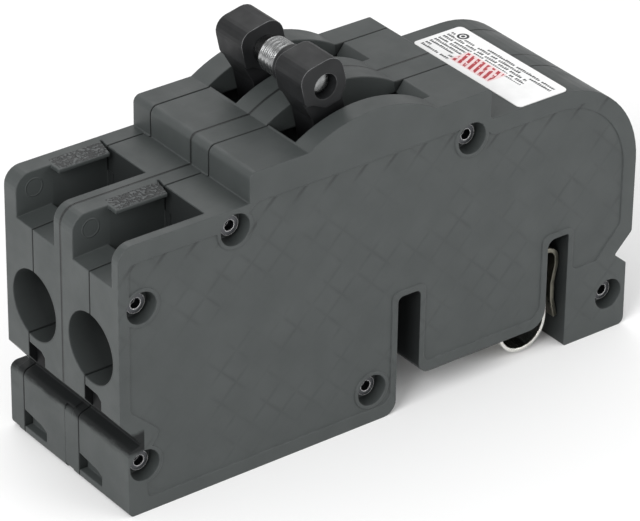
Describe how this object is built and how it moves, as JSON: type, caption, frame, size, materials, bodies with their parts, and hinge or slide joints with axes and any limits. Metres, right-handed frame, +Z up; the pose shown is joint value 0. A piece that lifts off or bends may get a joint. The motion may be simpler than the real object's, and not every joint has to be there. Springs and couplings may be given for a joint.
{
  "type": "circuit breaker",
  "caption": "Plug-in miniature circuit breaker of two thin poles side by side, with tied toggle handles, wire lugs at one end and bus jaws at the other.",
  "frame": {"origin": "centre of the bounding box's bottom face", "axes": "+X from the terminal end to the bus end, +Y across the poles from the near one to the far one, +Z up towards the handles"},
  "size_m": [0.0838, 0.0272, 0.054],
  "materials": {
    "moulded_case": "satin moulded thermoset",
    "handle_plastic": "satin",
    "tinned_metal": "tin plate, slightly aged",
    "plated_steel": "zinc plate",
    "spring_steel": "plated spring strip",
    "copper": "bare copper",
    "bimetal_strip": "rolled strip",
    "silver_contact": "satin silver",
    "zinc_plated": "bright zinc plate",
    "label_paper": "printed paper, plain marks only"
  },
  "bodies": {
    "case": {"near_base": "moulded_case", "near_cover": "moulded_case", "near_lug": "tinned_metal", "near_load_strap": "copper", "near_bimetal": "bimetal_strip", "near_yoke": "plated_steel", "near_armature_pin": "plated_steel", "near_calibration_screw": "plated_steel", "near_fixed_contact": "silver_contact", "near_line_jaw": "tinned_metal", "near_jaw_spring": "spring_steel", "near_arc_plates": "plated_steel", "near_braid": "copper", "far_base": "moulded_case", "far_cover": "moulded_case", "far_lug": "tinned_metal", "far_load_strap": "copper", "far_bimetal": "bimetal_strip", "far_yoke": "plated_steel", "far_armature_pin": "plated_steel", "far_calibration_screw": "plated_steel", "far_fixed_contact": "silver_contact", "far_line_jaw": "tinned_metal", "far_jaw_spring": "spring_steel", "far_arc_plates": "plated_steel", "far_braid": "copper", "case_rivets": "zinc_plated", "label": "label_paper"},
    "handle_unit": {"near_handle": "handle_plastic", "far_handle": "handle_plastic", "tie_pin": "zinc_plated", "tie_spacer": "zinc_plated"},
    "near_arm": {"near_contact_arm": "copper", "near_moving_contact": "silver_contact", "near_toggle_spring": "spring_steel"},
    "far_arm": {"far_contact_arm": "copper", "far_moving_contact": "silver_contact", "far_toggle_spring": "spring_steel"},
    "trip_unit": {"near_cradle": "plated_steel", "far_cradle": "plated_steel", "common_trip_shaft": "plated_steel"},
    "near_armature_unit": {"near_armature": "plated_steel"},
    "near_screw_unit": {"near_terminal_screw": "plated_steel"},
    "far_armature_unit": {"far_armature": "plated_steel"},
    "far_screw_unit": {"far_terminal_screw": "plated_steel"}
  },
  "joints": [
    {"name": "handle_turn", "type": "hinge", "parent": "case", "child": "handle_unit", "pos_m": [-0.00278, 0, 0.0265], "axis": [0, 1, 0], "range_deg": [-6, 34]},
    {"name": "trip_turn", "type": "hinge", "parent": "case", "child": "trip_unit", "pos_m": [0.01963, 0, 0.0342], "axis": [0, 1, 0], "range_deg": [-12, 0]},
    {"name": "near_arm_turn", "type": "hinge", "parent": "handle_unit", "child": "near_arm", "pos_m": [-0.00185, -0.00755, 0.0224], "axis": [0, 1, 0], "range_deg": [-16.2, 3], "deforming": ["near_toggle_spring", "near_braid"]},
    {"name": "near_armature_turn", "type": "hinge", "parent": "case", "child": "near_armature_unit", "pos_m": [-0.01282, -0.0072, 0.0136], "axis": [0, 1, 0], "range_deg": [-4, 0], "stiffness_Nm_per_rad": 0.002, "springref_deg": 5.73},
    {"name": "near_screw_travel", "type": "slide", "parent": "case", "child": "near_screw_unit", "axis": [0, 0, -1], "range_m": [0, 0.003]},
    {"name": "far_arm_turn", "type": "hinge", "parent": "handle_unit", "child": "far_arm", "pos_m": [-0.00185, 0.00515, 0.0224], "axis": [0, 1, 0], "range_deg": [-16.2, 3], "deforming": ["far_toggle_spring", "far_braid"]},
    {"name": "far_armature_turn", "type": "hinge", "parent": "case", "child": "far_armature_unit", "pos_m": [-0.01282, 0.0055, 0.0136], "axis": [0, 1, 0], "range_deg": [-4, 0], "stiffness_Nm_per_rad": 0.002, "springref_deg": 5.73},
    {"name": "far_screw_travel", "type": "slide", "parent": "case", "child": "far_screw_unit", "axis": [0, 0, -1], "range_m": [0, 0.003]}
  ],
  "couplings": [
    {"joint": "near_arm_turn", "follows": "handle_turn", "ratio": -0.47059},
    {"joint": "far_arm_turn", "follows": "handle_turn", "ratio": -0.47059}
  ]
}
